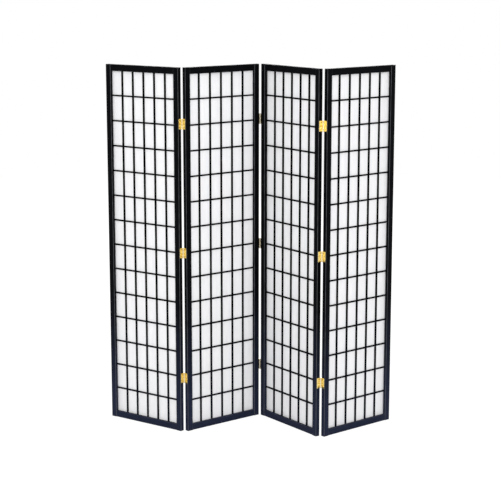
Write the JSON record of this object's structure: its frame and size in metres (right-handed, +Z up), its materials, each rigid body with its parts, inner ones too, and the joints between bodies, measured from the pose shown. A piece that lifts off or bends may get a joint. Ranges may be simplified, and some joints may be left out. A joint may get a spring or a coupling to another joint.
{
  "type": "folding screen",
  "caption": "Tall zigzag folding screen of hinged black lacquered panels, each a fine lattice over white translucent rice paper, joined by small brass butt hinges.",
  "frame": {"origin": "on the floor, under the middle of the standing screen's bounding box", "axes": "+Z up; +X along the screen's width, from its left end to its right end as seen from the lattice side; -Y towards the viewer who faces the lattice side"},
  "size_m": [1.4074, 0.3712, 1.784],
  "materials": {
    "black_lacquered_wood": "satin black lacquer over fine-grained softwood",
    "rice_paper": "matt translucent fibrous paper",
    "brass": "polished and lacquered brass"
  },
  "bodies": {
    "panel_1": {"fold_1_lower_hinge_left_leaf": "brass", "fold_1_middle_hinge_left_leaf": "brass", "fold_1_upper_hinge_left_leaf": "brass", "panel_1_bottom_rail": "black_lacquered_wood", "panel_1_hinge_screws": "brass", "panel_1_left_stile": "black_lacquered_wood", "panel_1_level_bars": "black_lacquered_wood", "panel_1_rice_paper": "rice_paper", "panel_1_right_stile": "black_lacquered_wood", "panel_1_top_rail": "black_lacquered_wood", "panel_1_upright_muntins": "black_lacquered_wood"},
    "panel_2": {"fold_1_hinge_pins": "brass", "fold_1_lower_hinge_right_leaf": "brass", "fold_1_middle_hinge_right_leaf": "brass", "fold_1_upper_hinge_right_leaf": "brass", "fold_2_hinge_pins": "brass", "fold_2_lower_hinge_left_leaf": "brass", "fold_2_middle_hinge_left_leaf": "brass", "fold_2_upper_hinge_left_leaf": "brass", "panel_2_bottom_rail": "black_lacquered_wood", "panel_2_hinge_screws": "brass", "panel_2_left_stile": "black_lacquered_wood", "panel_2_level_bars": "black_lacquered_wood", "panel_2_rice_paper": "rice_paper", "panel_2_right_stile": "black_lacquered_wood", "panel_2_top_rail": "black_lacquered_wood", "panel_2_upright_muntins": "black_lacquered_wood"},
    "panel_3": {"fold_2_lower_hinge_right_leaf": "brass", "fold_2_middle_hinge_right_leaf": "brass", "fold_2_upper_hinge_right_leaf": "brass", "fold_3_hinge_pins": "brass", "fold_3_lower_hinge_left_leaf": "brass", "fold_3_middle_hinge_left_leaf": "brass", "fold_3_upper_hinge_left_leaf": "brass", "panel_3_bottom_rail": "black_lacquered_wood", "panel_3_hinge_screws": "brass", "panel_3_left_stile": "black_lacquered_wood", "panel_3_level_bars": "black_lacquered_wood", "panel_3_rice_paper": "rice_paper", "panel_3_right_stile": "black_lacquered_wood", "panel_3_top_rail": "black_lacquered_wood", "panel_3_upright_muntins": "black_lacquered_wood"},
    "panel_4": {"fold_3_lower_hinge_right_leaf": "brass", "fold_3_middle_hinge_right_leaf": "brass", "fold_3_upper_hinge_right_leaf": "brass", "panel_4_bottom_rail": "black_lacquered_wood", "panel_4_hinge_screws": "brass", "panel_4_left_stile": "black_lacquered_wood", "panel_4_level_bars": "black_lacquered_wood", "panel_4_rice_paper": "rice_paper", "panel_4_right_stile": "black_lacquered_wood", "panel_4_top_rail": "black_lacquered_wood", "panel_4_upright_muntins": "black_lacquered_wood"}
  },
  "joints": [
    {"name": "fold_1", "type": "hinge", "parent": "panel_2", "child": "panel_1", "pos_m": [-0.31951, -0.09266, 0.892], "axis": [0, 0, 1], "range_deg": [-107, 73]},
    {"name": "fold_2", "type": "hinge", "parent": "panel_2", "child": "panel_3", "pos_m": [0.04822, 0.16781, 0.892], "axis": [0, 0, 1], "range_deg": [-89, 91]},
    {"name": "fold_3", "type": "hinge", "parent": "panel_3", "child": "panel_4", "pos_m": [0.34794, -0.1687, 0.892], "axis": [0, 0, 1], "range_deg": [-92.5, 87.5]}
  ]
}
